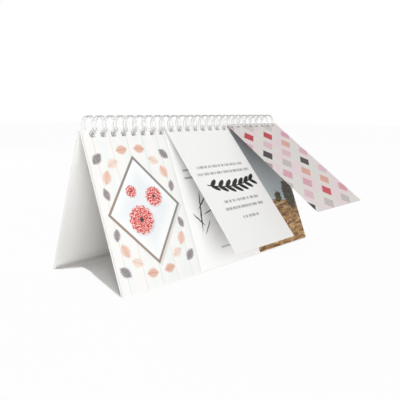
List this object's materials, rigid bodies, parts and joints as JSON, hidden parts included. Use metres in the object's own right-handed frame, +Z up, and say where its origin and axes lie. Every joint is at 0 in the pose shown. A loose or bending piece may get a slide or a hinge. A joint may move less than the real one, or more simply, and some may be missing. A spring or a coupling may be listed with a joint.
{
  "type": "desk flip book",
  "caption": "Folding tent easel of stiff boards, bound along its top by a twin-loop wire that carries columns of cards, each turned over by itself.",
  "frame": {"origin": "middle of the front board's foot, on the floor", "axes": "+Z up, +X along the binding wire, and the leaves face -Y"},
  "size_m": [0.21, 0.135, 0.1121],
  "materials": {
    "board": "white cover paper glued over grey board, matt",
    "hinge_paper": "white cover paper, matt",
    "wire": "white nylon coating, satin",
    "leaf_left": "printed card, pale wood and a round dish, satin",
    "leaf_middle": "printed card, pale warm grey, satin",
    "leaf_right": "printed card, coloured dashes, satin"
  },
  "bodies": {
    "front_stand": {"front_board": "board", "twin_loop_wire": "wire", "leaf_left_2": "leaf_left", "leaf_left_3": "leaf_left", "leaf_left_4": "leaf_left", "leaf_middle_2": "leaf_middle", "leaf_middle_3": "leaf_middle", "leaf_middle_4": "leaf_middle", "leaf_right_2": "leaf_right", "leaf_right_3": "leaf_right", "leaf_right_4": "leaf_right"},
    "rear_stand": {"rear_board": "board"},
    "front_base": {"base_front_panel": "board", "front_hinge_strip": "hinge_paper", "base_crease_strip": "hinge_paper"},
    "rear_base": {"base_rear_panel": "board", "rear_hinge_strip": "hinge_paper"},
    "left_leaf": {"leaf_left_1": "leaf_left"},
    "middle_leaf": {"leaf_middle_1": "leaf_middle"},
    "right_leaf": {"leaf_right_1": "leaf_right"}
  },
  "joints": [
    {"name": "stand_fold", "type": "hinge", "parent": "front_stand", "child": "rear_stand", "pos_m": [0, 0.04125, 0.10177], "axis": [-1, 0, 0], "range_deg": [0, 38.5]},
    {"name": "front_base_fold", "type": "hinge", "parent": "front_stand", "child": "front_base", "pos_m": [0, 0.00167, 0.00175], "axis": [1, 0, 0], "range_deg": [0, 52.3], "deforming": ["front_hinge_strip", "base_crease_strip"]},
    {"name": "rear_base_fold", "type": "hinge", "parent": "rear_stand", "child": "rear_base", "pos_m": [0, 0.08084, 0.00175], "axis": [-1, 0, 0], "range_deg": [0, 52.3], "deforming": ["rear_hinge_strip"]},
    {"name": "left_leaf_turn", "type": "hinge", "parent": "front_stand", "child": "left_leaf", "pos_m": [0, 0.04125, 0.10542], "axis": [-1, 0, 0], "range_deg": [0, 293.5]},
    {"name": "middle_leaf_turn", "type": "hinge", "parent": "front_stand", "child": "middle_leaf", "pos_m": [0, 0.04125, 0.10542], "axis": [-1, 0, 0], "range_deg": [-19.1, 274.4]},
    {"name": "right_leaf_turn", "type": "hinge", "parent": "front_stand", "child": "right_leaf", "pos_m": [0, 0.04125, 0.10542], "axis": [-1, 0, 0], "range_deg": [-33.7, 259.8]}
  ],
  "couplings": [
    {"joint": "front_base_fold", "follows": "stand_fold", "ratio": 1.357},
    {"joint": "rear_base_fold", "follows": "stand_fold", "ratio": 1.357}
  ]
}
